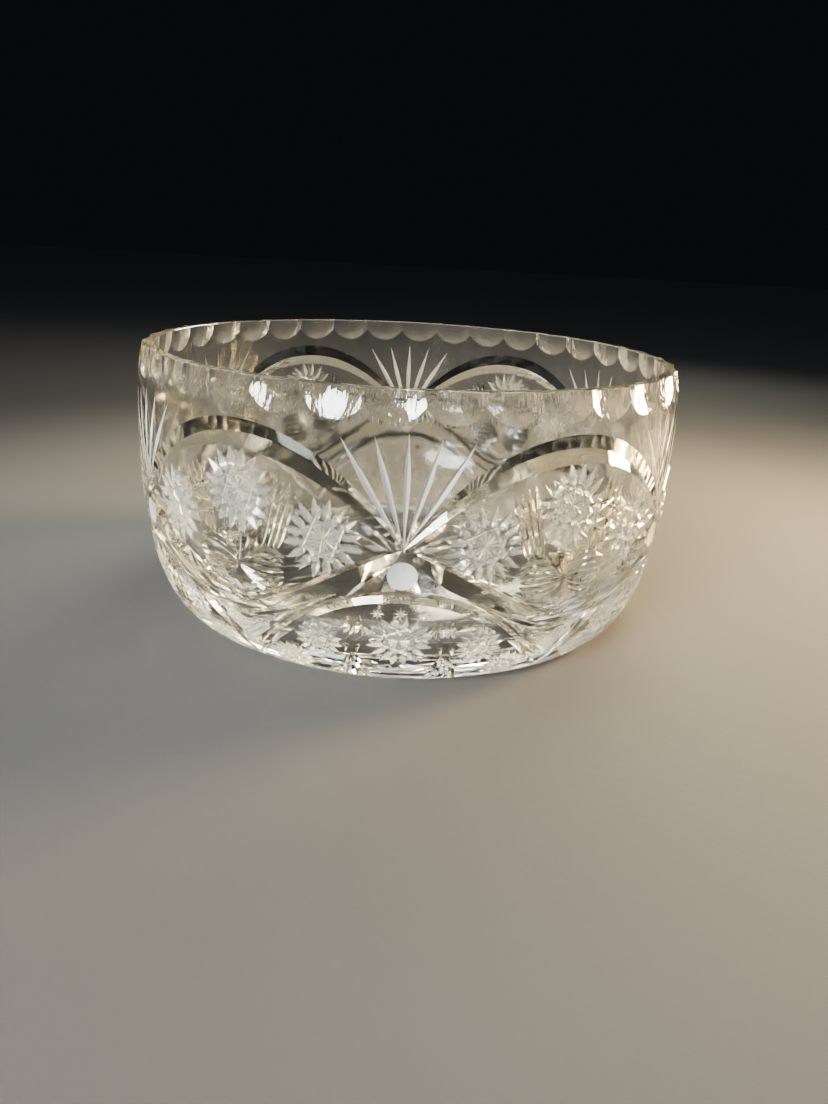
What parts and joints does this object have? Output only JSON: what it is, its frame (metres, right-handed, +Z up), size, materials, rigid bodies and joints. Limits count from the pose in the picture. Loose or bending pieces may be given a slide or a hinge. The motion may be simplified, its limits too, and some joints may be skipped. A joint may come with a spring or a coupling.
{
  "type": "cut crystal bowl",
  "caption": "Round straight-sided bowl of clear cut crystal with a thumbprint-scalloped rim, crossing arches, almond panels, frosted fans and a star-cut foot.",
  "frame": {"origin": "centre of the flat foot, on the surface the bowl stands on", "axes": "+Z up along the axis of revolution; one crossing of the cut arches faces -Y"},
  "size_m": [0.2046, 0.2046, 0.0985],
  "materials": {
    "crystal": "polished clear lead crystal, hand cut, with frosted fans and dots"
  },
  "bodies": {
    "root": {"crystal_bowl": "crystal"}
  },
  "joints": []
}
